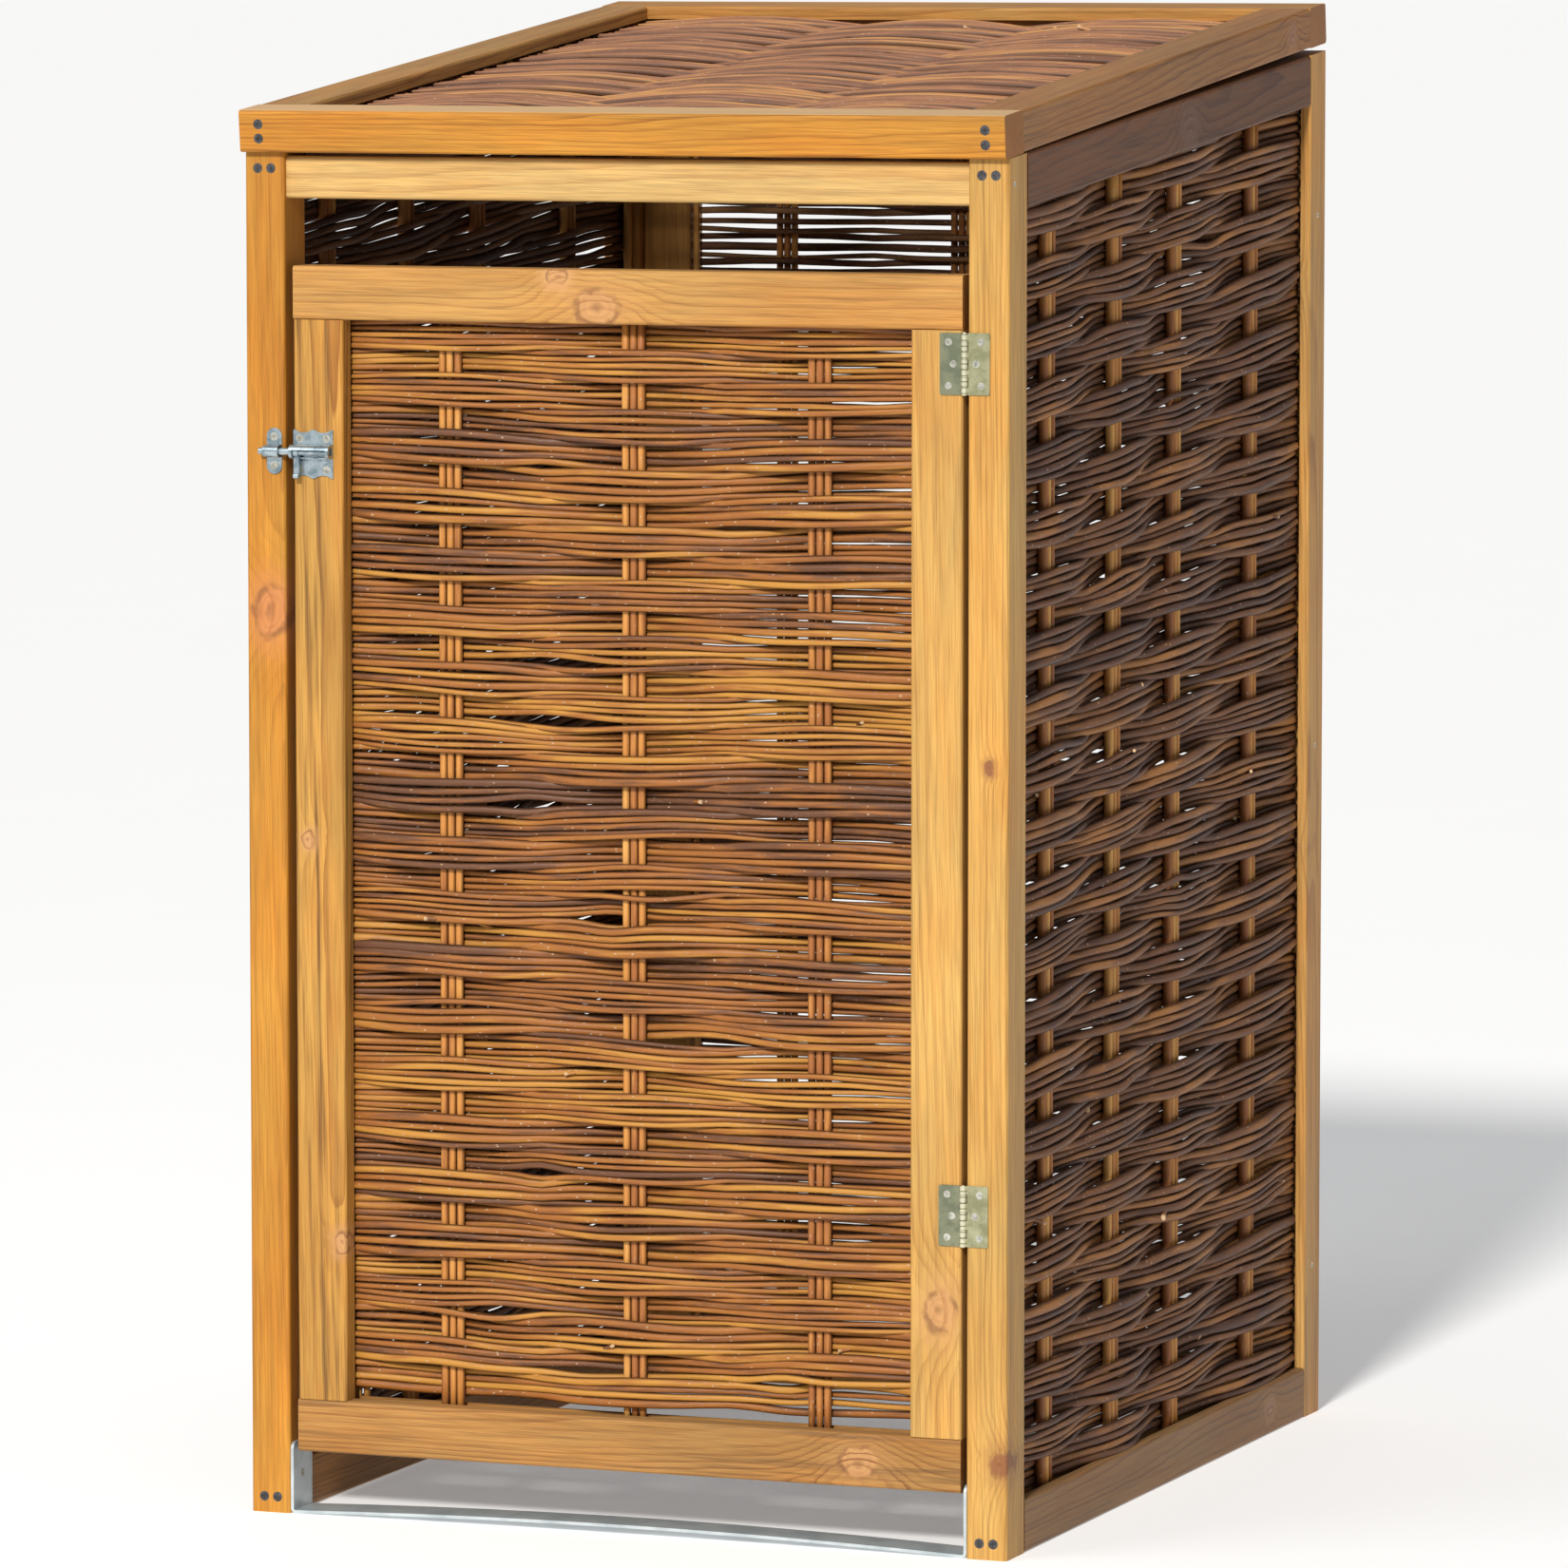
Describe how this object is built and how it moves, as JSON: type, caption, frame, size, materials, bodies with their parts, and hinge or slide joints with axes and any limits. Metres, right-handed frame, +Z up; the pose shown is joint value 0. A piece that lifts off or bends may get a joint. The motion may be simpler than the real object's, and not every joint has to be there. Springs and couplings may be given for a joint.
{
  "type": "wheelie bin store",
  "caption": "Free-standing bin housing of pine battens with woven willow panels, a sloping lift-up lid and a side-hinged front door with a sliding bolt.",
  "frame": {"origin": "on the ground, at the middle of the box that the object fills, hinge knuckles and bolt included", "axes": "+X to the right as seen from the door, -Y towards the door side, +Z up; the lid's hinges are on the +Y side"},
  "size_m": [0.65, 0.816, 1.214],
  "materials": {
    "pine": "honey stained softwood, satin",
    "willow": "steamed willow rods with their bark on",
    "willow_stakes": "willow stakes with their bark on",
    "brassed_steel": "dull yellow-plated pressed steel",
    "hinge_pin": "plated steel pin",
    "zinc": "bright zinc-plated steel",
    "dark_screw": "dark phosphated steel screws",
    "galvanised_strip": "hot-dip galvanised steel strip"
  },
  "bodies": {
    "housing": {"front_post_left": "pine", "front_post_right": "pine", "rear_post_left": "pine", "rear_post_right": "pine", "side_top_rail_left": "pine", "side_top_rail_right": "pine", "side_bottom_rail_left": "pine", "side_bottom_rail_right": "pine", "side_weft_left": "willow", "side_weft_right": "willow", "side_stakes_left": "willow_stakes", "side_stakes_right": "willow_stakes", "post_screws": "dark_screw", "side_nails": "zinc", "head_rail": "pine", "back_stile_left": "pine", "back_stile_right": "pine", "back_bottom_rail": "pine", "back_top_rail": "pine", "back_weft": "willow", "back_stakes": "willow_stakes", "back_frame_screws": "dark_screw", "threshold_strap": "galvanised_strip", "strap_screws": "zinc", "door_hinge_post_leaf_upper": "brassed_steel", "door_hinge_post_leaf_lower": "brassed_steel", "door_hinge_pin_upper": "hinge_pin", "door_hinge_pin_lower": "hinge_pin", "post_leaf_screws": "zinc", "bolt_keeper": "zinc", "keeper_screws": "zinc", "lid_hinge_frame_leaf_left": "brassed_steel", "lid_hinge_frame_leaf_right": "brassed_steel", "lid_hinge_pin_left": "hinge_pin", "lid_hinge_pin_right": "hinge_pin", "frame_leaf_screws": "zinc"},
    "door": {"door_top_rail": "pine", "door_bottom_rail": "pine", "door_stile_left": "pine", "door_stile_right": "pine", "door_weft": "willow", "door_stakes": "willow_stakes", "door_frame_screws": "dark_screw", "door_hinge_door_leaf_upper": "brassed_steel", "door_hinge_door_leaf_lower": "brassed_steel", "door_leaf_screws": "zinc", "bolt_plate": "zinc", "bolt_plate_screws": "zinc"},
    "lid": {"lid_front_board": "pine", "lid_back_board": "pine", "lid_side_board_left": "pine", "lid_side_board_right": "pine", "lid_weft": "willow", "lid_stakes": "willow_stakes", "lid_board_screws": "dark_screw", "lid_hinge_lid_leaf_left": "brassed_steel", "lid_hinge_lid_leaf_right": "brassed_steel", "lid_leaf_screws": "zinc"},
    "bolt_rod": {"bolt_rod": "zinc"},
    "bolt_handle": {"bolt_handle": "zinc"}
  },
  "joints": [
    {"name": "door_swing", "type": "hinge", "parent": "housing", "child": "door", "pos_m": [0.28875, -0.3976, 0.6], "axis": [0, 0, 1], "range_deg": [0, 170]},
    {"name": "lid_lift", "type": "hinge", "parent": "housing", "child": "lid", "pos_m": [0, 0.4052, 1.17568], "axis": [-1, 0, 0], "range_deg": [0, 105]},
    {"name": "bolt_slide", "type": "slide", "parent": "door", "child": "bolt_rod", "axis": [1, 0, 0], "range_m": [0, 0.024]},
    {"name": "bolt_turn", "type": "hinge", "parent": "bolt_rod", "child": "bolt_handle", "pos_m": [-0.278, -0.4022, 0.861], "axis": [-1, 0, 0], "range_deg": [0, 90]}
  ]
}
